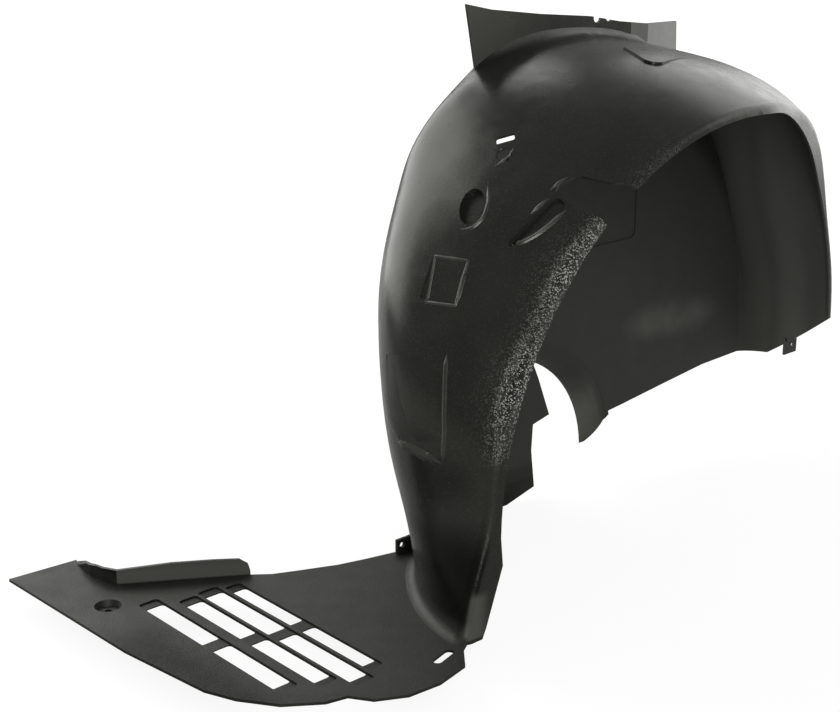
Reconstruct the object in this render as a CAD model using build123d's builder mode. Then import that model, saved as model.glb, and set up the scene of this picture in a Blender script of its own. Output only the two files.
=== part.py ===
import os
from math import cos, radians, sin, sqrt

from build123d import *

# Sheet, in millimetres about the wheel axis: x rearwards, y inboard, z up
WALL = 3.0
CAP_Y = 250.0
FLOOR_Z = -130.0
BEND_END = 0.99

# Arch by angle from the front: angle, lip radius, lip y, crown radius, crown y, radius at the inboard wall
ARCH = (
    (2, 370, 0, 373, 90, 131),
    (14, 368, 0, 388, 109, 170),
    (29, 368, 0, 402, 140, 276),
    (40, 368, 0, 408, 170, 337),
    (52, 366, 0, 413, 203, 396),
    (62, 363, 0, 421, 227, 411),
    (75, 361, 0, 418, 232, 430),
    (90, 361, 4, 413, 232, 425),
    (105, 362, 28, 409, 232, 418),
    (118, 363, 47, 419, 220, 391),
    (132, 359, 68, 422, 205, 371),
    (148, 353, 98, 386, 205, 347),
    (164, 352, 113, 383, 205, 336),
    (180, 354, 124, 380, 205, 331),
)

# Front leg by height: z, crown x, crown y, x at the inboard wall
LEG = (
    (FLOOR_Z, 414, -30, 106),
    (-97, 407, -30, 106),
    (-45, 390, 20, 118),
)

# Rolled outboard lip: its plan behind the top of the arch, its bend and its trimmed edges
LIP_PLAN = ((10, 0), (60, 13), (110, 35), (160, 55), (222, 79), (268, 97), (313, 110), (345, 119), (390, 138))
LIP_ROLL = 12.0
FRONT_EDGE_R = 355.0
REAR_EDGE_R = 348.0
LEG_EDGE = ((-355, 0), (-352, -29), (-373, -87), (-383, -108), (-391, -150))

# Inboard wall: lower edge of the front leg, of the gap and of the rear part
LEG_FOOT = ((-700, -97), (-290, -97), (-275, -119), (-96, -121), (-51, -110), (-57, -63), (-55, -31), (-28, -25))
GAP_TOP = ((-48, 25), (-56, 42), (-62, 58))
MOUTH = (-94, -98)
MOUTH_R = 175.0
MOUTH_EDGE_R = 149.0
MOUTH_FLARE = 22.0
MOUTH_ARC = (17, 80)
MOUTH_FOOT = ((20, -120), (55, -86), (62, -72), (70, -57), (86, -46.5), (100, -46), (100, -160), (20, -160))
WALL_FOOT = ((102, -44), (178, -35.5), (258, -27), (331, -25), (460, -42), (460, -200), (-700, -200))
REAR_END = ((60, 89), (260, -54), (300, -200), (60, -200))
REAR_LUG = (374, 202, -29, 26, 22)
HOSE_OPENING = (-118, 298, 44)
PAD = (-40, 117, 163, 300)
PAD_STEP = 1.2

# Upstand on the dome
UPSTAND = (
    (-150, 370),
    (-168, 458),
    (-131, 450),
    (-55, 440),
    (24, 432),
    (72, 423),
    (127, 416),
    (221, 409),
    (225, 371),
    (140, 383),
    (110, 372),
    (0, 380),
)
UPSTAND_PLAN = ((-175, 247.5), (92, 247.5), (128, 252.5), (240, 293))
UPSTAND_NOTCHES = (34, 54)
UPSTAND_NOTCH_R = 6.0

# Tongue
TONGUE_Z = -97.0
TONGUE_TOP = TONGUE_Z + WALL
CREASE_R = 10.0
TONGUE = (
    (-648, 410),
    (-642, 204),
    (-629, 95),
    (-617, 64),
    (-594, 30),
    (-562, 7),
    (-541, 2),
    (-528, -18),
    (-500, -33),
    (-465, -36),
    (-427, -28),
    (-407, -5),
    (-300, 60),
    (-200, 190),
    (-306, 193),
    (-348, 203),
    (-380, 212),
    (-419, 229),
    (-443, 240),
    (-459, 253),
    (-571, 328),
    (-577, 343),
    (-580, 361),
    (-579, 376),
    (-574, 404),
)
TURN_UP_PLAN = ((-574, 404), (-579, 376), (-580, 361), (-577, 343), (-571, 328), (-459, 256))
TURN_UP_FRONT = ((-577, 404), (-582, 376), (-583, 361), (-580, 342), (-573.5, 325.5), (-460.6, 253.5))
TURN_UP_RUN = (0.845, -0.535)
TURN_UP = ((-41, 4), (-32, 14), (-22, 17), (1, 18.5), (53, 22), (95, 22), (122, 21), (131, 15), (135, 0), (-41, 0))
SCREW = (-605, 292)
SCREW_R = 3.5
DISH_FLOOR_R = 10.0
DISH_DEPTH = 6.0
DISH_TAPER = 30.0
TIE_SLOT = (-431, -3, 29, 9, 15)
EAR = (-318, 189, 24, 19)
EAR_HOLE_R = 3.0

# Louvre: front and rear of each row, then the ends of its outboard and inboard slots
LOUVRE = (
    (-583, -561, 57, 150, 166, 262),
    (-549.5, -528.5, 41, 136, 152, 242),
    (-525, -502, 21, 126, 141, 245),
    (-498, -480, 35, 125, 142, 236),
)
LOUVRE_R = 4.0
SCOOP = 11.0
SCOOP_DEPTH = 1.8

# Marks on the strip: angle, y and radius of the skin, then its lean inboard and up the strip
PANEL = (16.5, 106, 391, 0.04, 0.11)
PANEL_CORNER = (39, -53)
PANEL_SIZE = (110, 98)
PANEL_TOP = (-358, 162)
PANEL_DIP = 2.2
PANEL_FOOT = (-375, 53)
PANEL_RISE = 17
FRAME = (34.1, 105.5, 401.2, 0.15, 0.08)
FRAME_SIZE = (40, 44)
FRAME_DEPTH = 1.6
DIMPLE = (45.1, 116, 404.9, 0.15, 0.05)
DIMPLE_SIZE = (26, 42)
DIMPLE_DEPTH = 9.0
STRIP_SLOT = (56.6, 132, 410.5, 0.16, 0.06)
STRIP_SLOT_SIZE = (19, 9)
STRIP_SLOT_TURN = 42
DENT = (54.2, 122, 407.6, 0.17, 0.06)
DENT_R = 9.0
DENT_DEPTH = 2.5
DART = (45.8, 49, 386.8, 0.33, 0.01)
DART_ENDS = ((8, 27, 8), (-9, -25, 3.5))
DART_DEPTH = 7.0
LANDING = ((-42, 100), (70, 134), (40, 190), (-22, 160))
LANDING_CORNER = 12.0
LANDING_RISE = 1.0
NOTCH = (55, 30, 380, 0.3, 0)
NOTCH_OUTLINE = (
    (62, -18),
    (24, -25),
    (4, -28),
    (-22, -21),
    (-24, -12),
    (-16, 3),
    (-11, 6),
    (19, 15.6),
    (26, 22),
    (39, 29),
    (62, 35),
)


def bend(share):
    """Fall of the sheet from its crown, 1, to the inboard wall, 0."""
    end = sqrt(1 - BEND_END**2)
    return (sqrt(1 - (BEND_END * share) ** 2) - end) / (1 - end)


def radius(row, y, inset):
    """Radius of the sheet at one angle and one distance inboard."""
    _, lip_r, lip_y, crown_r, crown_y, wall_r = row
    if y > crown_y and wall_r > crown_r:
        share = (y - crown_y) / (CAP_Y - crown_y)
        flare = 0 if inset else (wall_r - crown_r) * share**2.2
        return crown_r - inset + flare
    if y > crown_y:
        share = min(1.0, (y - crown_y) / (CAP_Y - inset - crown_y))
        return wall_r + (crown_r - inset - wall_r) * bend(share)
    share = max(0.0, (y - lip_y) / (crown_y - lip_y))
    return lip_r - inset + (crown_r - lip_r) * (1 - (1 - share) ** 2)


def leg_x(row, y, inset):
    """Distance of the front leg ahead of the wheel centre at one height."""
    _, crown_x, crown_y, wall_x = row
    share = min(1.0, max(0.0, y - crown_y) / (CAP_Y - inset - crown_y))
    return wall_x + (crown_x - inset - wall_x) * bend(share)


def side_points(y, inset):
    """Side profile of the arch in one plane across the wheel axis."""
    points = [(-leg_x(row, y, inset), row[0]) for row in LEG]
    for row in ARCH:
        r = radius(row, y, inset)
        points.append((-r * cos(radians(row[0])), r * sin(radians(row[0]))))
    rear_x = radius(ARCH[-1], y, inset)
    points += [(rear_x, -60), (rear_x, FLOOR_Z)]
    return points


def stations(inset):
    """Distances inboard at which the side profile is drawn."""
    end = CAP_Y - inset
    return [0, 45, 90, 130, 165, 195, 217, end - 17, end - 7, end - 2, end]


def lip_side(inset):
    """Plan of the space outboard of the lip."""
    with BuildSketch(Plane.XY.offset(FLOOR_Z - 10)) as plan:
        with BuildLine():
            Polyline((10, inset), (-500, inset), (-500, -60), (390, -60), (390, 138 + inset))
            Spline(*[(x, y + inset) for x, y in LIP_PLAN], tangents=((1, 0), (1, 0.5)))
        make_face()
    return plan.sketch


def on_lip(edge):
    """True for the two edges that form the outboard lip."""
    box = edge.bounding_box()
    return box.max.Y < 140 and box.max.Z > 300 and box.size.X > 50


def on_crease(edge):
    """True for the edge where the strip meets the tongue."""
    box = edge.bounding_box()
    flat = box.size.Z < 0.5 and abs(box.max.Z - TONGUE_TOP) < 0.5
    return flat and box.min.X < -397 and box.max.X > -330


def skin(mark, depth):
    """Plane on the strip: first axis outboard, second up the strip, depth below the skin."""
    angle, y, r, inboard, up = mark
    a = radians(angle)
    n = Vector(-cos(a) - up * sin(a), -inboard, sin(a) - up * cos(a)).normalized()
    origin = Vector(-r * cos(a), y, r * sin(a)) - n * depth
    return Plane(origin=origin, x_dir=(0, -1, 0), z_dir=n)


# Outside form
with BuildPart() as outside_form:
    for y in stations(0):
        with BuildSketch(Plane.XZ.offset(-y)):
            with BuildLine():
                arch = Spline(*side_points(y, 0))
                Line(arch @ 1, arch @ 0)
            make_face()
    loft()

# Space inside, one sheet thickness smaller all round
with BuildPart() as inside_form:
    for y in stations(WALL):
        with BuildSketch(Plane.XZ.offset(-y)):
            with BuildLine():
                arch = Spline(*side_points(y, WALL))
                Line(arch @ 1, arch @ 0)
            make_face()
    loft()

# Panel that dips into the lower strip, and the bump it makes inside
PANEL_HINGE = Axis((PANEL_TOP[0], 0, PANEL_TOP[1]), (0, 1, 0))
FOOT_HINGE = Axis((PANEL_FOOT[0], 0, PANEL_FOOT[1]), (0, 1, 0))
with BuildPart() as panel_dip:
    with BuildSketch(skin(PANEL, 8)):
        with Locations(Location(PANEL_CORNER, 6.5)):
            Rectangle(*PANEL_SIZE, align=(Align.MAX, Align.MIN))
    extrude(amount=30, taper=-22)
    add(outside_form.part.rotate(PANEL_HINGE, -PANEL_DIP), mode=Mode.SUBTRACT)
    add(outside_form.part.rotate(FOOT_HINGE, PANEL_RISE), mode=Mode.SUBTRACT)
with BuildPart() as panel_bump:
    with BuildSketch(skin(PANEL, 8 + WALL)):
        with Locations(Location((PANEL_CORNER[0] + WALL, PANEL_CORNER[1] - WALL), 6.5)):
            Rectangle(PANEL_SIZE[0] + WALL, PANEL_SIZE[1] + WALL, align=(Align.MAX, Align.MIN))
    extrude(amount=30, taper=-22)
    add(inside_form.part.rotate(PANEL_HINGE, -PANEL_DIP), mode=Mode.SUBTRACT)
    add(inside_form.part.rotate(FOOT_HINGE, PANEL_RISE), mode=Mode.SUBTRACT)

# Landing that rises from the dome, and the hollow under it
LANDING_HINGE = Axis((90, 175, 400), (-0.494, 0.869, 0))
with BuildPart() as landing:
    with BuildSketch(Plane.XY.offset(380)) as landing_plan:
        with BuildLine():
            Polyline(*LANDING, close=True)
        make_face()
        fillet(landing_plan.vertices().sort_by(Axis.X)[0], LANDING_CORNER)
    extrude(amount=50)
    add(outside_form.part.rotate(LANDING_HINGE, LANDING_RISE), mode=Mode.INTERSECT)
with BuildPart() as landing_hollow:
    with BuildSketch(Plane.XY.offset(380)):
        add(landing_plan.sketch)
        offset(amount=-WALL, mode=Mode.REPLACE)
    extrude(amount=50)
    add(inside_form.part.rotate(LANDING_HINGE, LANDING_RISE), mode=Mode.INTERSECT)

# Outside with its rolled lip and the recesses of the strip
with BuildPart() as outside:
    add(outside_form.part)
    add(lip_side(0))
    extrude(amount=600, mode=Mode.SUBTRACT)
    fillet(outside.edges().filter_by(on_lip), LIP_ROLL)
    add(landing.part)
    add(panel_dip.part, mode=Mode.SUBTRACT)
    with BuildSketch(skin(FRAME, FRAME_DEPTH)):
        RectangleRounded(*FRAME_SIZE, 3, rotation=6)
    extrude(amount=20, mode=Mode.SUBTRACT)
    with BuildSketch(skin(DIMPLE, DIMPLE_DEPTH)):
        Ellipse(DIMPLE_SIZE[0] / 2 - 2, DIMPLE_SIZE[1] / 2 - 2, rotation=26)
    extrude(amount=25, taper=-12, mode=Mode.SUBTRACT)
    with BuildSketch(skin(DENT, DENT_DEPTH)):
        Circle(DENT_R - 2)
    extrude(amount=20, taper=-35, mode=Mode.SUBTRACT)
    with BuildSketch(skin(DART, DART_DEPTH)):
        for x, y, r in DART_ENDS:
            with Locations((x, y)):
                Circle(r)
        make_hull()
    extrude(amount=25, mode=Mode.SUBTRACT)

# Inside with the same lip and recesses
with BuildPart() as inside:
    add(inside_form.part)
    add(lip_side(WALL))
    extrude(amount=600, mode=Mode.SUBTRACT)
    fillet(inside.edges().filter_by(on_lip), LIP_ROLL - WALL)
    add(landing_hollow.part)
    add(panel_bump.part, mode=Mode.SUBTRACT)
    with BuildSketch(skin(FRAME, FRAME_DEPTH + WALL)):
        RectangleRounded(FRAME_SIZE[0] + 2 * WALL, FRAME_SIZE[1] + 2 * WALL, 5, rotation=6)
    extrude(amount=20, mode=Mode.SUBTRACT)
    with BuildSketch(skin(DIMPLE, DIMPLE_DEPTH + WALL)):
        Ellipse(DIMPLE_SIZE[0] / 2 + 1, DIMPLE_SIZE[1] / 2 + 1, rotation=26)
    extrude(amount=30, taper=-12, mode=Mode.SUBTRACT)
    with BuildSketch(skin(DENT, DENT_DEPTH + WALL)):
        Circle(DENT_R)
    extrude(amount=25, taper=-35, mode=Mode.SUBTRACT)
    with BuildSketch(skin(DART, DART_DEPTH + WALL)):
        for x, y, r in DART_ENDS:
            with Locations((x, y)):
                Circle(r + WALL)
        make_hull()
    extrude(amount=30, mode=Mode.SUBTRACT)

# Tongue, cut off where it meets the inner face of the strip
with BuildPart() as tongue:
    with BuildSketch(Plane.XY.offset(TONGUE_Z)):
        with BuildLine():
            Polyline(*TONGUE, close=True)
        make_face()
    extrude(amount=WALL)
    add(inside.part, mode=Mode.SUBTRACT)

# Upstand, a plate that turns inboard at its rear end
with BuildPart() as upstand:
    with BuildSketch(Plane.XY.offset(330)):
        with BuildLine():
            Polyline(*UPSTAND_PLAN, *[(x, y + WALL) for x, y in reversed(UPSTAND_PLAN)], close=True)
        make_face()
    extrude(amount=150)
    with BuildSketch(Plane.XZ.offset(-CAP_Y - 60)):
        with BuildLine():
            Polyline(*UPSTAND, close=True)
        make_face()
        with Locations(*[(x, 430) for x in UPSTAND_NOTCHES]):
            Circle(UPSTAND_NOTCH_R, mode=Mode.SUBTRACT)
    extrude(amount=80, mode=Mode.INTERSECT)

# Turned-up edge of the tongue, from its fin to the middle of its rear side
with BuildPart() as turn_up:
    with BuildSketch(Plane.XY.offset(TONGUE_Z)):
        with BuildLine():
            Polyline(*TURN_UP_PLAN, *reversed(TURN_UP_FRONT), close=True)
        make_face()
    extrude(amount=40)
    side = Plane((-571, 328, TONGUE_Z), x_dir=(*TURN_UP_RUN, 0), z_dir=(TURN_UP_RUN[1], -TURN_UP_RUN[0], 0))
    with BuildSketch(side):
        with BuildLine():
            Polyline(*TURN_UP, close=True)
        make_face()
    extrude(amount=150, both=True, mode=Mode.INTERSECT)

# Liner about the wheel axis
with BuildPart() as liner:
    add(outside.part)
    add(inside.part, mode=Mode.SUBTRACT)
    add(tongue.part)
    fillet(liner.edges().filter_by(on_crease), CREASE_R)
    add(upstand.part)
    # pad pressed into the inboard wall
    with BuildSketch(Plane.XZ.offset(-CAP_Y)):
        with Locations(((PAD[0] + PAD[1]) / 2, (PAD[2] + PAD[3]) / 2)):
            RectangleRounded(PAD[1] - PAD[0], PAD[3] - PAD[2], 12)
    extrude(amount=-PAD_STEP)
    with BuildSketch(Plane.XZ.offset(WALL - CAP_Y - PAD_STEP)):
        with Locations(((PAD[0] + PAD[1]) / 2, (PAD[2] + PAD[3]) / 2)):
            RectangleRounded(PAD[1] - PAD[0] - 2 * WALL, PAD[3] - PAD[2] - 2 * WALL, 9)
    extrude(amount=20, mode=Mode.SUBTRACT)
    # wheel opening, front then rear
    with BuildSketch(Plane.XZ.offset(20)):
        with BuildLine():
            CenterArc((0, 0), FRONT_EDGE_R, 90, 90)
            Polyline(*LEG_EDGE, (0, -150), (0, FRONT_EDGE_R))
        make_face()
    extrude(amount=-50, mode=Mode.SUBTRACT)
    with BuildSketch(Plane.XZ.offset(20)):
        with BuildLine():
            EllipticalCenterArc((0, 0), REAR_EDGE_R, FRONT_EDGE_R, 0, arc_size=90)
            Polyline((0, FRONT_EDGE_R), (0, -150), (REAR_EDGE_R, -150), (REAR_EDGE_R, 0))
        make_face()
    extrude(amount=-180, mode=Mode.SUBTRACT)
    with BuildSketch(skin(NOTCH, 40)):
        with BuildLine():
            Polyline(*NOTCH_OUTLINE, close=True)
        make_face()
    extrude(amount=70, mode=Mode.SUBTRACT)
    # lower edge of the inboard wall and end of the rear strip
    with BuildSketch(Plane.XZ.offset(60)):
        with BuildLine():
            mouth = CenterArc(MOUTH, MOUTH_R, MOUTH_ARC[0], MOUTH_ARC[1] - MOUTH_ARC[0])
            Polyline(mouth @ 0, *WALL_FOOT, *LEG_FOOT, *GAP_TOP, mouth @ 1)
        make_face()
    extrude(amount=-400, mode=Mode.SUBTRACT)
    with BuildSketch(Plane.XZ.offset(-CAP_Y + 20)):
        with Locations(HOSE_OPENING[:2]):
            Circle(HOSE_OPENING[2])
    extrude(amount=-50, mode=Mode.SUBTRACT)
    with BuildSketch(Plane.YZ.offset(290)):
        with BuildLine():
            Polyline(*REAR_END, close=True)
        make_face()
    extrude(amount=200, mode=Mode.SUBTRACT)

# Flared mouth of the inboard wall
with BuildPart() as mouth_flare:
    with BuildSketch(Plane((MOUTH[0], 0, MOUTH[1]))):
        with BuildLine():
            Line((MOUTH_R + 4, CAP_Y - WALL), (MOUTH_R + 4, CAP_Y))
            outer = Spline(
                (MOUTH_R + 4, CAP_Y), (MOUTH_EDGE_R, CAP_Y + MOUTH_FLARE), tangents=((-1, 0), (-0.5, 0.87))
            )
            inner = Spline(
                (MOUTH_R + 4, CAP_Y - WALL),
                (MOUTH_EDGE_R - 2.6, CAP_Y + MOUTH_FLARE - 1.5),
                tangents=((-1, 0), (-0.5, 0.87)),
            )
            Line(outer @ 1, inner @ 1)
        make_face()
    revolve(axis=Axis((MOUTH[0], 0, MOUTH[1]), (0, -1, 0)), revolution_arc=MOUTH_ARC[1] + 2)
    with BuildSketch(Plane.XZ.offset(-CAP_Y + 20)):
        with BuildLine():
            Polyline(*MOUTH_FOOT, close=True)
        make_face()
    extrude(amount=-80, mode=Mode.SUBTRACT)

# Liner with its flare, tongue details and holes
with BuildPart() as whole:
    add(liner.part)
    add(mouth_flare.part)
    # turned-up edge of the tongue, ear and rear lug
    add(turn_up.part)
    with BuildSketch(Plane.XZ.offset(-EAR[1])):
        with Locations((EAR[0], TONGUE_Z)):
            Rectangle(EAR[2], EAR[3], align=(Align.MIN, Align.MIN))
        with Locations((EAR[0] + 7, TONGUE_Z + EAR[3] - 7)):
            Circle(EAR_HOLE_R, mode=Mode.SUBTRACT)
    extrude(amount=-WALL)
    with BuildSketch(Plane.XZ.offset(-REAR_LUG[1])):
        with Locations((REAR_LUG[0], REAR_LUG[2])):
            Rectangle(REAR_LUG[3], REAR_LUG[4], align=(Align.MIN, Align.MIN))
        with Locations((REAR_LUG[0] + REAR_LUG[3] - 9, REAR_LUG[2] + 11)):
            Circle(EAR_HOLE_R, mode=Mode.SUBTRACT)
    extrude(amount=-WALL)
    # screw dish
    with BuildSketch(Plane.XY.offset(TONGUE_TOP - DISH_DEPTH - WALL)):
        with Locations(SCREW):
            Circle(DISH_FLOOR_R + WALL)
    extrude(amount=DISH_DEPTH + WALL, taper=-DISH_TAPER)
    with BuildSketch(Plane.XY.offset(TONGUE_TOP - DISH_DEPTH)):
        with Locations(SCREW):
            Circle(DISH_FLOOR_R)
    extrude(amount=DISH_DEPTH + 1, taper=-DISH_TAPER, mode=Mode.SUBTRACT)
    with BuildSketch(Plane.XY.offset(TONGUE_Z - 20)):
        with Locations(SCREW):
            Circle(SCREW_R)
        with Locations(Location((TIE_SLOT[0], TIE_SLOT[1]), TIE_SLOT[4])):
            SlotOverall(TIE_SLOT[2], TIE_SLOT[3])
        for front, rear, *ends in LOUVRE:
            for low, high in (ends[:2], ends[2:]):
                with Locations(((front + rear) / 2, (low + high) / 2)):
                    RectangleRounded(rear - front, high - low, LOUVRE_R)
    extrude(amount=40, mode=Mode.SUBTRACT)
    with BuildSketch(Plane.XY.offset(TONGUE_TOP - SCOOP_DEPTH)):
        for front, rear, low, _, _, high in LOUVRE:
            with Locations(((front + rear) / 2, (low + high) / 2)):
                RectangleRounded(rear - front, high - low + 2 * SCOOP, LOUVRE_R)
    extrude(amount=10, mode=Mode.SUBTRACT)
    # slot in the strip
    with BuildSketch(skin(STRIP_SLOT, 20)):
        RectangleRounded(*STRIP_SLOT_SIZE, 2, rotation=STRIP_SLOT_TURN)
    extrude(amount=40, mode=Mode.SUBTRACT)

# Own frame: the origin is the seat of the screw in the tongue
with BuildPart() as arch_liner:
    with Locations((-SCREW[0], -SCREW[1], DISH_DEPTH - TONGUE_TOP)):
        add(whole.part)

os.makedirs("parts", exist_ok=True)
arch_liner.part.label = "arch_liner"
export_step(arch_liner.part, "parts/arch_liner.step")
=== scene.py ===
from collections import namedtuple
from math import cos, pi, radians, sin
from types import SimpleNamespace

import bpy
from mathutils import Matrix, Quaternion, Vector


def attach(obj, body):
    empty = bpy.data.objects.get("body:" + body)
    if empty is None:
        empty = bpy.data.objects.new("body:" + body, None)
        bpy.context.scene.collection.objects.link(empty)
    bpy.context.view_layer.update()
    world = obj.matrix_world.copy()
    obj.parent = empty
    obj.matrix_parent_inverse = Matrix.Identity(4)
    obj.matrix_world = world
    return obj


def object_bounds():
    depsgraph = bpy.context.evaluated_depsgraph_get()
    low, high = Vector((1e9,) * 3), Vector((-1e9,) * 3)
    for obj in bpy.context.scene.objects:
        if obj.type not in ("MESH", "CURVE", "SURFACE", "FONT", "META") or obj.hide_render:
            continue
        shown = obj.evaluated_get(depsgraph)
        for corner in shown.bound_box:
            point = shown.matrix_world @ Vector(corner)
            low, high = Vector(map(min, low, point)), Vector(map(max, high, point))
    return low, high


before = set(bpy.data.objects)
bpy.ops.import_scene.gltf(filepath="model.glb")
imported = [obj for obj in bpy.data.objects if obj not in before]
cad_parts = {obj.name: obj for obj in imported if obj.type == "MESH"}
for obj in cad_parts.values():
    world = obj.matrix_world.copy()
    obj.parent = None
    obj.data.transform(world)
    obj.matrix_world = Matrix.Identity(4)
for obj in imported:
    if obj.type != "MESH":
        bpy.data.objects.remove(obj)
cad_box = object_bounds()
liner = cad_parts["arch_liner"]

# Millimetres in a metre
PER_METRE = 1000

# Camera, in metres in the part's frame
CAMERA_PLACE = (-0.72371, -1.25244, 0.72596)
CAMERA_PITCH = 71.875
CAMERA_YAW = -42.219
CAMERA_REACH = 50
SENSOR = 36.0
LENS = 68.60

# Wheel centre in the part's frame, and the point that the lamps face
WHEEL = Vector((0.605, -0.292, 0.100))
MIDDLE = Vector((0.45, -0.10, 0.30))

# Softboxes: the bearing is to the right of the camera's view, and angles are in degrees
Softbox = namedtuple("Softbox", "bearing height distance width tall brightness roll")
SOFTBOXES = {
    "left": Softbox(-50, 25, 2.4, 2.4, 2.4, brightness=2.4, roll=22),
    "right": Softbox(51, 19, 2.4, 3.0, 2.6, brightness=1.25, roll=0),
    "front": Softbox(176, 17, 2.6, 0.5, 1.9, brightness=9.0, roll=0),
    "back": Softbox(-8, 44, 2.6, 0.8, 0.7, brightness=1.6, roll=0),
}

# Room and floor
WHITE = (1, 1, 1, 1)
ROOM_LEVEL = 0.25
FLOOR_SEEN = (0.86, 0.86, 0.86, 1)
FLOOR_BOUNCE = (0.55, 0.55, 0.54, 1)
FLOOR_GLOW = 0.80
FLOOR_LEVEL = 1.12
FLOOR_HALF = 12.0
FLOOR_GAP = 0.0005
# Distances from the part's middle over which the floor goes over to plain white
FLOOR_FADE = (0.75, 1.7)

# Outer side, clean and worn, and the ridges on it, painted lighter as a painted highlight, clean and worn
BLACK = (0.0100, 0.0103, 0.0086, 1)
BLACK_WORN = (0.0165, 0.0169, 0.0146, 1)
RIDGE_HIGHLIGHT = (0.0300, 0.0305, 0.0265, 1)
RIDGE_HIGHLIGHT_WORN = (0.0600, 0.0610, 0.0540, 1)
# Pale pores of the grain; then painted light and shade: the lighter inner side, sheen on the inner side,
# glints on the lip, shade on the foot and in the scoops, and light on the upstand and turned-up edge
PORE = (0.0230, 0.0235, 0.0200, 1)
INNER_LIT = (0.0300, 0.0306, 0.0275, 1)
PAINTED_SHEEN = (0.110, 0.112, 0.101, 1)
LIP_GLINT = (0.80, 0.80, 0.74, 1)
PAINTED_SHADE = (0.0040, 0.0041, 0.0035, 1)
PAINTED_LIGHT = (0.0780, 0.0790, 0.0700, 1)
# Tint of the reflections
GLOSS_TINT = (0.99, 1.0, 0.87, 1)

# A range below goes from none at its first number to full at its second, unless a SHARE stands beside it.
# X, Y and Z are in metres in the part's frame. AFT and UP are metres from the wheel centre.
# FACING and TURN are parts of the unit normal.
WALL_FACING = (-0.6, -0.9)
WALL_RADIUS = (0.36, 0.33)
INNER_FACING = (-0.05, -0.3)
TONGUE_Z = (0.030, 0.012)

# Coarse grain and painted glints along the front lip: a narrow core and a wider haze, in waves along the
# edge
LIP_SLANT = 0.04
LIP_CORE_Y = (-0.262, -0.282)
LIP_CORE_SHARE = 0.90
LIP_HAZE_Y = (-0.235, -0.275)
LIP_HAZE_SHARE = 0.10
LIP_THIN_X = (0.415, 0.39)
LIP_THIN_SHARE = 0.15
LIP_FOOT_Z = (0.165, 0.21)
LIP_END_X = (0.52, 0.47)
WAVE_Z = 0.25
WAVE_RATE = 66.0
WAVE_DEPTH = 0.32

# Painted shade on the foot of the leg, and the dull outboard front of the tongue
FOOT_SHADE_Z = (0.125, 0.070)
FOOT_SHADE_FACING = (0.2, 0.5)
BRINK_X = (0.045, -0.015)
BRINK_Y = (0.0, -0.10)
BRINK_SHARE = 0.75

# Painted sheen on the inner side: an ellipse on the wall and the flare, and painted light on the rear
SHEEN_AFT = 0.19
SHEEN_UP = 0.049
SHEEN_SLOPE = -0.06
SHEEN_LENGTH = 0.075
SHEEN_WIDTH = 0.024
SHEEN_FADE = (1.45, 0.10)
FLARE_FRONT_AFT = (-0.015, 0.002)
FLARE_BACK_AFT = (0.080, 0.050)
FLARE_TURN = (-0.05, -0.5)
FLARE_FACING = (-0.1, -0.4)
REAR_X = (0.84, 0.92)
REAR_FACING = (-0.6, 0.2)

# Painted light on the outboard faces of the upstand and of the tongue's turned-up edge
LIT_FACING = (-0.5, -0.8)
UPSTAND_Z = (0.440, 0.470)
UPSTAND_X = (0.60, 0.44)
UPSTAND_SHARE = 0.10
TURN_UP_Z = (0.055, 0.045)
TURN_UP_X = (0.24, 0.22)

# Height of the tongue's top over the seat of its screw, the foot of its turned-up edge, and the painted
# shade in its scoops
TONGUE_TOP = 0.0060
TURN_UP_BASE_Z = (TONGUE_TOP, TONGUE_TOP + 0.002)
SCOOP_SHADE_Z = (TONGUE_TOP - 0.0009, TONGUE_TOP - 0.0014)
SCOOP_SHADE_X = (0.030, 0.033)

# Textures: scale in cells a metre, detail, and the range of the texture that is used
LIP_CELL_SCALE = 950.0
GLINT_CUT = (0.66, 0.98)
CLOUD_SCALE = 9.0
CLOUD_DETAIL = 6.0
WORN_CUT = (0.35, 0.75)
SHEEN_CUT = (0.3, 0.6)
PORE_SCALE = 420.0
PORE_DETAIL = 2.0
PORE_CUT = (0.50, 0.75)
GLOSS_SCALE = 45.0
GLOSS_DETAIL = 4.0
GLOSS_CUT = (0.3, 0.7)
GRAIN_SCALE = 750.0
GRAIN_DETAIL = 3.0

# Roughness of the outer side, and what the inner side and the tongue add to it
OUTER_ROUGH = (0.21, 0.28)
INNER_ROUGH = 0.34
TONGUE_ROUGH = 0.28
# Reflection of the plastic, and of its dull places
SHINE = 0.5
DULL_SHINE = 0.15
# Depths of the fine grain, of what the tongue adds to it and of the lip's grain, and their unit in metres
GRAIN_DEPTH = 0.16
TONGUE_GRAIN = 0.30
LIP_GRAIN = 3.0
BUMP_STRENGTH = 1.0
BUMP_DISTANCE = 0.0006

# Moulded ridges on the strip, in millimetres about the wheel centre: points, width and height
LOGO_FRAME = ((-320, 125, 239), (-316, 88, 243), (-339, 81, 205), (-341, 114, 200), (-320, 125, 239))
LOGO_BAR = ((-319, 87, 238), (-330, 83, 221), (-339, 80, 205))
DIMPLE_RIM = ((-267, 114, 304), (-275, 103, 293), (-288, 97, 279), (-299, 102, 268), (-303, 114, 267))
DART_RIM = (
    (-287, 62, 260),
    (-287, 51, 261),
    (-281, 46, 265),
    (-272, 40, 271),
    (-259, 35, 280),
    (-244, 31, 291),
)
DART_TOP = ((-262, 58, 280), (-250, 55, 288), (-241, 51, 295))
SLOT_TAB = ((-228, 117, 336), (-235, 115, 328), (-243, 117, 322), (-250, 122, 319))
NOTCH_TIP = ((-241, 56, 304), (-230, 54, 310), (-221, 50, 316))
PANEL_SIDE = ((-357, 73, 164), (-367, 65, 129), (-372, 60, 94), (-372, 62, 60))
PANEL_FOOT = ((-372, 62, 60), (-374, 76, 62), (-375, 90, 64), (-375, 107, 66), (-373, 125, 66))
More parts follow.
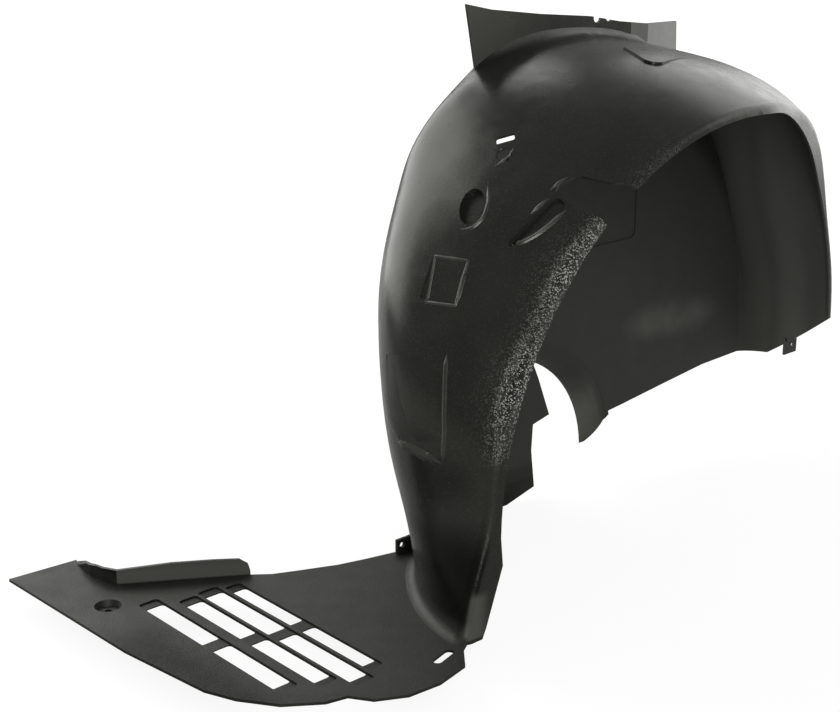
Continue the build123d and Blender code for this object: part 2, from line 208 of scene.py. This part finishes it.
RIDGES = {
    "logo_frame": (LOGO_FRAME, 4.0, 1.1),
    "logo_bar": (LOGO_BAR, 5.5, 2.0),
    "dimple_rim": (DIMPLE_RIM, 5.5, 1.6),
    "dart_rim": (DART_RIM, 6.0, 1.5),
    "dart_top": (DART_TOP, 5.0, 1.3),
    "slot_tab": (SLOT_TAB, 5.5, 1.2),
    "notch_tip": (NOTCH_TIP, 5.0, 1.4),
    "panel_side": (PANEL_SIDE, 7.0, 1.3),
    "panel_foot": (PANEL_FOOT, 11.0, 1.7),
}
RIDGE_STEP = 1.5
RIDGE_SIDES = 11
RIDGE_SUNK = 0.15
CORNER_PASSES = 14
# An open ridge rises over so many steps from each end. It starts at a share of a step and of its width.
FADE_STEPS = 7
FADE_START = 0.3
TIP_WIDTH = 0.3

# Skin where the panel's inboard side eases into the strip: turns about the wheel axis in degrees, sizes in
# millimetres. Its middle bows outboard by the square of the turn from the bow's own turn.
EASE_TURNS = (9.5, 24.0)
EASE_MIDDLE = 152.0
EASE_BOW = 0.31
EASE_BOW_TURN = 22.0
EASE_HALF = 22.0
EASE_SWELL = 0.65
EASE_SUNK = 0.25
EASE_DEPTH = 1.0
EASE_ROWS = 32
EASE_COLUMNS = 17
# Rows over which its two ends go over to the liner's own skin
EASE_FIRST_FADE = 5
EASE_LAST_FADE = 16
# Distance over which the skin's slope is taken beside it
SLOPE_REACH = 6

# How far outside a place a ray to the skin starts, in metres
SKIN_REACH = 0.05
# Radius of a place that is known by its turn, in millimetres
STRIP_RADIUS = 380


class Graph:
    """Node tree that is emptied and then filled by short calls."""

    def __init__(self, owner):
        owner.use_nodes = True
        self.tree = owner.node_tree
        self.tree.nodes.clear()

    def new(self, kind):
        """New node."""
        return self.tree.nodes.new(kind)

    def put(self, value, socket):
        """Links a socket to an input, or sets the input to a constant."""
        if isinstance(value, bpy.types.NodeSocket):
            self.tree.links.new(value, socket)
        else:
            socket.default_value = value

    def maths(self, operation, a, b=0.0):
        """Result of an operation on one or two numbers or sockets."""
        node = self.new("ShaderNodeMath")
        node.operation = operation
        self.put(a, node.inputs[0])
        self.put(b, node.inputs[1])
        return node.outputs["Value"]

    def plus(self, a, b):
        """Sum of two values."""
        return self.maths("ADD", a, b)

    def minus(self, a, b):
        """Difference of two values."""
        return self.maths("SUBTRACT", a, b)

    def times(self, first, *others):
        """Product of two or more values."""
        for other in others:
            first = self.maths("MULTIPLY", first, other)
        return first

    def length(self, a, b):
        """Length of a flat vector."""
        return self.maths("SQRT", self.plus(self.times(a, a), self.times(b, b)))

    def ramp(self, value, span, start=0.0, end=1.0):
        """Smooth step of a value, from start at the span's first number to end at its second."""
        node = self.new("ShaderNodeMapRange")
        node.interpolation_type = "SMOOTHSTEP"
        node.inputs["From Min"].default_value = span[0]
        node.inputs["From Max"].default_value = span[1]
        node.inputs["To Min"].default_value = start
        node.inputs["To Max"].default_value = end
        self.put(value, node.inputs["Value"])
        return node.outputs["Result"]

    def blend(self, share, a, b):
        """Colour that goes from a to b."""
        node = self.new("ShaderNodeMix")
        node.data_type = "RGBA"
        self.put(share, node.inputs["Factor"])
        self.put(a, node.inputs["A"])
        self.put(b, node.inputs["B"])
        return node.outputs["Result"]

    def split(self, vector):
        """Three parts of a vector or colour."""
        node = self.new("ShaderNodeSeparateXYZ")
        self.put(vector, node.inputs["Vector"])
        return node.outputs

    def noise(self, place, scale, detail):
        """Soft noise in the part's own space."""
        node = self.new("ShaderNodeTexNoise")
        node.inputs["Scale"].default_value = scale
        node.inputs["Detail"].default_value = detail
        self.put(place, node.inputs["Vector"])
        return node.outputs["Fac"]


def surface_point(graph, place):
    """Place and normal of a point of the surface, and how it lies and faces about the wheel axis."""
    x, y, z = graph.split(place)
    nx, ny, nz = graph.split(graph.new("ShaderNodeNewGeometry").outputs["Normal"])
    aft = graph.minus(x, WHEEL.x)
    up = graph.minus(z, WHEEL.z)
    radius = graph.length(aft, up)
    outward = graph.maths("DIVIDE", graph.plus(graph.times(aft, nx), graph.times(up, nz)), radius)
    return SimpleNamespace(x=x, y=y, z=z, nx=nx, ny=ny, aft=aft, up=up, radius=radius, outward=outward)


def lip_zone(graph, at):
    """Share of the coarse grain and of the painted glints along the front lip."""
    edge = graph.plus(at.y, graph.times(at.z, LIP_SLANT))
    core = graph.ramp(edge, LIP_CORE_Y, end=LIP_CORE_SHARE)
    haze = graph.ramp(edge, LIP_HAZE_Y, end=LIP_HAZE_SHARE)
    thin = graph.ramp(at.x, LIP_THIN_X, start=LIP_THIN_SHARE)
    foot = graph.ramp(at.z, LIP_FOOT_Z)
    end = graph.ramp(at.x, LIP_END_X)
    wave = graph.maths("COSINE", graph.times(graph.minus(at.z, WAVE_Z), WAVE_RATE))
    waves = graph.plus(1.0 - WAVE_DEPTH, graph.times(wave, WAVE_DEPTH))
    return graph.times(graph.plus(core, haze), thin, foot, end, waves)


def sheen_zone(graph, at, wall):
    """Share of the painted sheen: an ellipse on the wall, and the flare."""
    along = graph.minus(at.aft, SHEEN_AFT)
    line = graph.plus(SHEEN_UP, graph.times(along, SHEEN_SLOPE))
    across = graph.maths("DIVIDE", graph.minus(at.up, line), SHEEN_WIDTH)
    along = graph.maths("DIVIDE", along, SHEEN_LENGTH)
    ellipse = graph.times(wall, graph.ramp(graph.length(across, along), SHEEN_FADE))
    flare = graph.times(graph.ramp(at.aft, FLARE_FRONT_AFT), graph.ramp(at.aft, FLARE_BACK_AFT))
    flare = graph.times(flare, graph.ramp(at.nx, FLARE_TURN), graph.ramp(at.ny, FLARE_FACING))
    return graph.maths("MAXIMUM", ellipse, flare)


def lit_face_zone(graph, at):
    """Share of the painted light on the upstand and on the tongue's turned-up edge."""
    upstand = graph.times(graph.ramp(at.z, UPSTAND_Z), graph.ramp(at.x, UPSTAND_X, start=UPSTAND_SHARE))
    turn_up = graph.times(graph.ramp(at.z, TURN_UP_Z), graph.ramp(at.x, TURN_UP_X))
    turn_up = graph.times(turn_up, graph.ramp(at.z, TURN_UP_BASE_Z))
    return graph.times(graph.ramp(at.ny, LIT_FACING), graph.plus(upstand, turn_up))


def zones(graph, place):
    """Shares of the places of the liner that look different."""
    at = surface_point(graph, place)
    tongue = graph.ramp(at.z, TONGUE_Z)
    off_tongue = graph.minus(1.0, tongue)
    wall = graph.times(graph.ramp(at.ny, WALL_FACING), graph.ramp(at.radius, WALL_RADIUS))
    inner = graph.maths("MAXIMUM", graph.ramp(at.outward, INNER_FACING), wall)
    inner = graph.times(inner, off_tongue)
    # Painted shade: the leg's foot beside the tongue is painted dark
    foot = graph.times(graph.ramp(at.z, FOOT_SHADE_Z), off_tongue, graph.ramp(at.outward, FOOT_SHADE_FACING))
    brink = graph.times(graph.ramp(at.x, BRINK_X), graph.ramp(at.y, BRINK_Y), tongue)
    return SimpleNamespace(
        inner=inner,
        lip=graph.times(lip_zone(graph, at), graph.minus(1.0, inner)),
        tongue=tongue,
        foot=foot,
        sheen=sheen_zone(graph, at, wall),
        lit_faces=lit_face_zone(graph, at),
        scoop_shade=graph.times(graph.ramp(at.z, SCOOP_SHADE_Z), graph.ramp(at.x, SCOOP_SHADE_X)),
        rear=graph.times(inner, graph.ramp(at.x, REAR_X), graph.ramp(at.ny, REAR_FACING)),
        dull=graph.maths("MAXIMUM", foot, graph.times(brink, BRINK_SHARE)),
    )


def plastic_colour(graph, place, zone, cells, black, worn):
    """Colour of the plastic, from its outer side to its painted light, sheen, glints and shade."""
    chance = graph.split(cells.outputs["Color"])["X"]
    glints = graph.times(graph.ramp(chance, GLINT_CUT), zone.lip)
    cloud = graph.noise(place, CLOUD_SCALE, CLOUD_DETAIL)
    pores = graph.noise(place, PORE_SCALE, PORE_DETAIL)
    colour = graph.blend(graph.ramp(cloud, WORN_CUT), black, worn)
    colour = graph.blend(graph.ramp(pores, PORE_CUT), colour, PORE)
    # Painted light: the inner side is painted lighter than the outer side
    colour = graph.blend(zone.inner, colour, INNER_LIT)
    # Painted light on the rear of the inner side, and painted sheen on the wall and the flare
    colour = graph.blend(zone.rear, colour, PAINTED_SHEEN)
    colour = graph.blend(graph.times(zone.sheen, graph.ramp(cloud, SHEEN_CUT)), colour, PAINTED_SHEEN)
    # Painted glints: pale specks on the lip's grain
    colour = graph.blend(glints, colour, LIP_GLINT)
    # Painted shade on the foot of the leg
    colour = graph.blend(zone.foot, colour, PAINTED_SHADE)
    # Painted light on the upstand and the turned-up edge
    colour = graph.blend(zone.lit_faces, colour, PAINTED_LIGHT)
    # Painted shade in the tongue's scoops
    return graph.blend(zone.scoop_shade, colour, PAINTED_SHADE)


def plastic_roughness(graph, place, zone):
    """Roughness of the plastic: glossy outside, matt inside and on the tongue."""
    gloss = graph.noise(place, GLOSS_SCALE, GLOSS_DETAIL)
    rough = graph.ramp(gloss, GLOSS_CUT, *OUTER_ROUGH)
    rough = graph.plus(rough, graph.times(zone.inner, INNER_ROUGH))
    return graph.plus(rough, graph.times(zone.tongue, TONGUE_ROUGH))


def plastic_bump(graph, place, zone, cells):
    """Normal of the plastic with its fine grain and the lip's coarse one."""
    depth = graph.plus(GRAIN_DEPTH, graph.times(zone.tongue, TONGUE_GRAIN))
    fine = graph.times(graph.noise(place, GRAIN_SCALE, GRAIN_DETAIL), depth)
    coarse = graph.times(cells.outputs["Distance"], graph.times(zone.lip, LIP_GRAIN))
    bump = graph.new("ShaderNodeBump")
    bump.inputs["Strength"].default_value = BUMP_STRENGTH
    bump.inputs["Distance"].default_value = BUMP_DISTANCE
    graph.put(graph.plus(fine, coarse), bump.inputs["Height"])
    return bump.outputs["Normal"]


def plastic(name, black, worn):
    """Black moulded plastic: glossy outside, matt inside, with a coarse grain on the lip."""
    material = bpy.data.materials.new(name)
    graph = Graph(material)
    out = graph.new("ShaderNodeOutputMaterial")
    shader = graph.new("ShaderNodeBsdfPrincipled")
    graph.put(shader.outputs["BSDF"], out.inputs["Surface"])
    place = graph.new("ShaderNodeTexCoord").outputs["Object"]
    zone = zones(graph, place)
    cells = graph.new("ShaderNodeTexVoronoi")
    cells.inputs["Scale"].default_value = LIP_CELL_SCALE
    graph.put(place, cells.inputs["Vector"])
    graph.put(plastic_colour(graph, place, zone, cells, black, worn), shader.inputs["Base Color"])
    graph.put(plastic_roughness(graph, place, zone), shader.inputs["Roughness"])
    graph.put(graph.ramp(zone.dull, (0.0, 1.0), SHINE, DULL_SHINE), shader.inputs["Specular IOR Level"])
    graph.put(GLOSS_TINT, shader.inputs["Specular Tint"])
    graph.put(plastic_bump(graph, place, zone, cells), shader.inputs["Normal"])
    return material


def pale_floor():
    """White studio floor that keeps a soft shadow."""
    material = bpy.data.materials.new("floor_white")
    graph = Graph(material)
    out = graph.new("ShaderNodeOutputMaterial")
    matt = graph.new("ShaderNodeBsdfDiffuse")
    seen = graph.new("ShaderNodeLightPath").outputs["Is Camera Ray"]
    graph.put(graph.blend(seen, FLOOR_BOUNCE, FLOOR_SEEN), matt.inputs["Color"])
    glow = graph.new("ShaderNodeEmission")
    glow.inputs["Strength"].default_value = FLOOR_LEVEL
    apart = graph.new("ShaderNodeVectorMath")
    apart.operation = "DISTANCE"
    graph.put(graph.new("ShaderNodeNewGeometry").outputs["Position"], apart.inputs[0])
    graph.put((MIDDLE.x, MIDDLE.y, 0.0), apart.inputs[1])
    share = graph.ramp(apart.outputs["Value"], FLOOR_FADE, start=FLOOR_GLOW)
    mix = graph.new("ShaderNodeMixShader")
    graph.put(graph.times(seen, share), mix.inputs["Fac"])
    graph.put(matt.outputs["BSDF"], mix.inputs[1])
    graph.put(glow.outputs["Emission"], mix.inputs[2])
    graph.put(mix.outputs["Shader"], out.inputs["Surface"])
    return material


def studio_world():
    """Even room light, with a white background for the camera."""
    world = bpy.data.worlds.new("studio")
    bpy.context.scene.world = world
    graph = Graph(world)
    out = graph.new("ShaderNodeOutputWorld")
    room = graph.new("ShaderNodeBackground")
    room.inputs["Color"].default_value = WHITE
    seen = graph.new("ShaderNodeLightPath").outputs["Is Camera Ray"]
    graph.put(graph.ramp(seen, (0.0, 1.0), start=ROOM_LEVEL), room.inputs["Strength"])
    graph.put(room.outputs["Background"], out.inputs["Surface"])


def add_softbox(name, box):
    """Softbox that faces the part, placed by its bearing from the camera's view."""
    heading = radians(90 + CAMERA_YAW - box.bearing)
    flat = cos(radians(box.height))
    away = Vector((cos(heading) * flat, sin(heading) * flat, sin(radians(box.height))))
    light = bpy.data.lights.new(name, "AREA")
    light.shape = "RECTANGLE"
    light.size = box.width
    light.size_y = box.tall
    light.energy = box.brightness * pi * box.width * box.tall
    lamp = bpy.data.objects.new(name, light)
    bpy.context.scene.collection.objects.link(lamp)
    lamp.location = MIDDLE + away * box.distance
    facing = (-away).to_track_quat("-Z", "Y") @ Quaternion((0, 0, 1), radians(box.roll))
    lamp.rotation_euler = facing.to_euler()
    lamp.visible_camera = False


def add_camera():
    """Camera at the photograph's angle."""
    data = bpy.data.cameras.new("camera")
    data.sensor_width = SENSOR
    data.lens = LENS
    data.clip_end = CAMERA_REACH
    camera = bpy.data.objects.new("camera", data)
    bpy.context.scene.collection.objects.link(camera)
    camera.location = CAMERA_PLACE
    camera.rotation_euler = (radians(CAMERA_PITCH), 0, radians(CAMERA_YAW))
    bpy.context.scene.camera = camera


def add_piece(name, points, faces, material):
    """New smooth mesh object from points in metres."""
    mesh = bpy.data.meshes.new(name)
    mesh.from_pydata(points, [], faces)
    mesh.materials.append(material)
    mesh.polygons.foreach_set("use_smooth", [True] * len(mesh.polygons))
    piece = bpy.data.objects.new(name, mesh)
    bpy.context.scene.collection.objects.link(piece)
    return piece


def add_floor(height):
    """Large floor under the part."""
    half = FLOOR_HALF
    corners = [(-half, -half, height), (half, -half, height), (half, half, height), (-half, half, height)]
    add_piece("floor", corners, [(0, 1, 2, 3)], pale_floor())


def fasten(piece):
    """Makes a piece part of the liner."""
    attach(piece, "root")


def on_skin(place):
    """Point of the liner's outer side over a place in millimetres about the wheel centre, and its normal."""
    outward = Vector((place[0], 0, place[2])).normalized()
    start = WHEEL + Vector(place) / PER_METRE + outward * SKIN_REACH
    _, point, normal, _ = liner.ray_cast(start, -outward)
    return point, normal


def walk(points, step):
    """Places along straight runs between points, one step apart."""
    places = []
    for start, end in zip(points, points[1:]):
        start, end = Vector(start), Vector(end)
        count = max(1, round((end - start).length / step))
        places += [start.lerp(end, i / count) for i in range(count)]
    return places + [Vector(points[-1])]


def rounded(places):
    """Run of places with its corners eased, its ends kept."""
    for _ in range(CORNER_PASSES):
        middle = [(a + 2 * b + c) / 4 for a, b, c in zip(places, places[1:], places[2:])]
        places = [places[0]] + middle + [places[-1]]
    return places


def ridge_section(point, normal, across, width, height, fade):
    """Points of a ridge's rounded section, which sinks into the skin at both sides."""
    section = []
    for j in range(RIDGE_SIDES):
        aside = 2 * j / (RIDGE_SIDES - 1) - 1
        lift = height * fade * (1 + cos(pi * aside)) / 2 - RIDGE_SUNK
        reach = aside * width / 2 * max(fade, TIP_WIDTH)
        section.append(point + (across * reach + normal * lift) / PER_METRE)
    return section


def ridge_faces(count, closed):
    """Faces between the sections of a ridge, and its two ends if it is open."""
    sides = RIDGE_SIDES
    total = count * sides
    faces = [] if closed else [tuple(reversed(range(sides))), tuple(range(total - sides, total))]
    for i in range(count if closed else count - 1):
        here = i * sides
        there = (i + 1) % count * sides
        for j in range(sides):
            beside = (j + 1) % sides
            faces.append((here + j, here + beside, there + beside, there + j))
    return faces


def add_ridge(name, points, width, height, material):
    """Rounded ridge that follows the skin, closed in a ring or fading at both ends."""
    closed = points[0] == points[-1]
    places = walk(points, RIDGE_STEP)
    places = places[:-1] if closed else rounded(places)
    spots = [on_skin(place) for place in places]
    last = len(spots) - 1
    ring = []
    for i, (point, normal) in enumerate(spots):
        before = i - 1 if closed else max(i - 1, 0)
        after = (i + 1) % len(spots) if closed else min(i + 1, last)
        across = (spots[after][0] - spots[before][0]).cross(normal).normalized()
        fade = 1.0 if closed else min(1.0, (min(i, last - i) + FADE_START) / FADE_STEPS)
        ring += ridge_section(point, normal, across, width, height, fade)
    fasten(add_piece(name, ring, ridge_faces(len(spots), closed), material))


def outward_at(turn):
    """Direction away from the wheel axis, by the turn above straight ahead."""
    return Vector((-cos(radians(turn)), 0, sin(radians(turn))))


def radius_at(turn, aside):
    """Distance of the liner's outer side from the wheel axis, in millimetres."""
    outward = outward_at(turn)
    point, _ = on_skin(outward * STRIP_RADIUS + Vector((0, aside, 0)))
    return (point - WHEEL).dot(outward) * PER_METRE


def hermite(t, first, first_slope, last, last_slope):
    """Cubic from the first value and slope at 0 to the last ones at 1."""
    value = first * (1 + 2 * t) * (1 - t) ** 2 + first_slope * t * (1 - t) ** 2
    return value + last * t**2 * (3 - 2 * t) - last_slope * t**2 * (1 - t)


def ease_row(turn, share):
    """Places across the panel's ease at one turn: sideways, and distance from the wheel axis."""
    middle = EASE_MIDDLE - EASE_BOW * (EASE_BOW_TURN - turn) ** 2
    start, end = middle - EASE_HALF, middle + EASE_HALF
    wide = end - start
    first, last = radius_at(turn, start), radius_at(turn, end)
    first_slope = (first - radius_at(turn, start - SLOPE_REACH)) / SLOPE_REACH * wide
    last_slope = (radius_at(turn, end + SLOPE_REACH) - last) / SLOPE_REACH * wide
    row = []
    for j in range(EASE_COLUMNS):
        t = j / (EASE_COLUMNS - 1)
        aside = start + wide * t
        skin = radius_at(turn, aside)
        ease = hermite(t, first, first_slope, last, last_slope) + EASE_SWELL * sin(pi * t) ** 0.5
        row.append((aside, skin + (ease - skin) * share - EASE_SUNK))
    return row


def patch_faces(rows, columns):
    """Faces of a closed thin patch: a grid, the same grid reversed under it, and the rim between them."""
    under = rows * columns
    faces = []
    for i in range(rows - 1):
        for j in range(columns - 1):
            a = i * columns + j
            corners = (a, a + columns, a + columns + 1, a + 1)
            faces += [corners, tuple(under + c for c in reversed(corners))]
    rim = list(range(columns)) + [i * columns + columns - 1 for i in range(1, rows)]
    rim += [(rows - 1) * columns + j for j in range(columns - 2, -1, -1)]
    rim += [i * columns for i in range(rows - 2, 0, -1)]
    for a, b in zip(rim, rim[1:] + rim[:1]):
        faces.append((a, b, under + b, under + a))
    return faces


def add_panel_ease(material):
    """Smooth skin over the step where the flat panel's inboard side meets the crowned strip."""
    low, high = EASE_TURNS
    last = EASE_ROWS - 1
    top, base = [], []
    for i in range(EASE_ROWS):
        turn = low + (high - low) * i / last
        outward = outward_at(turn)
        share = min(1, i / EASE_FIRST_FADE, (last - i) / EASE_LAST_FADE)
        share *= share * (3 - 2 * share)
        for aside, radius in ease_row(turn, share):
            sideways = Vector((0, aside, 0))
            top.append(WHEEL + (outward * radius + sideways) / PER_METRE)
            base.append(WHEEL + (outward * (radius - EASE_DEPTH) + sideways) / PER_METRE)
    fasten(add_piece("panel_ease", top + base, patch_faces(EASE_ROWS, EASE_COLUMNS), material))


bpy.context.scene.view_settings.view_transform = "Standard"
add_camera()
studio_world()
for name, box in SOFTBOXES.items():
    add_softbox(name, box)
add_floor(cad_box[0].z - FLOOR_GAP)
finish = plastic("liner_plastic", BLACK, BLACK_WORN)
# The ridges are painted lighter: a painted highlight along each ridge
ridge_highlight = plastic("ridge_highlight_plastic", RIDGE_HIGHLIGHT, RIDGE_HIGHLIGHT_WORN)
liner.data.materials.clear()
liner.data.materials.append(finish)
for name, (points, width, height) in RIDGES.items():
    add_ridge(name, points, width, height, ridge_highlight)
add_panel_ease(finish)
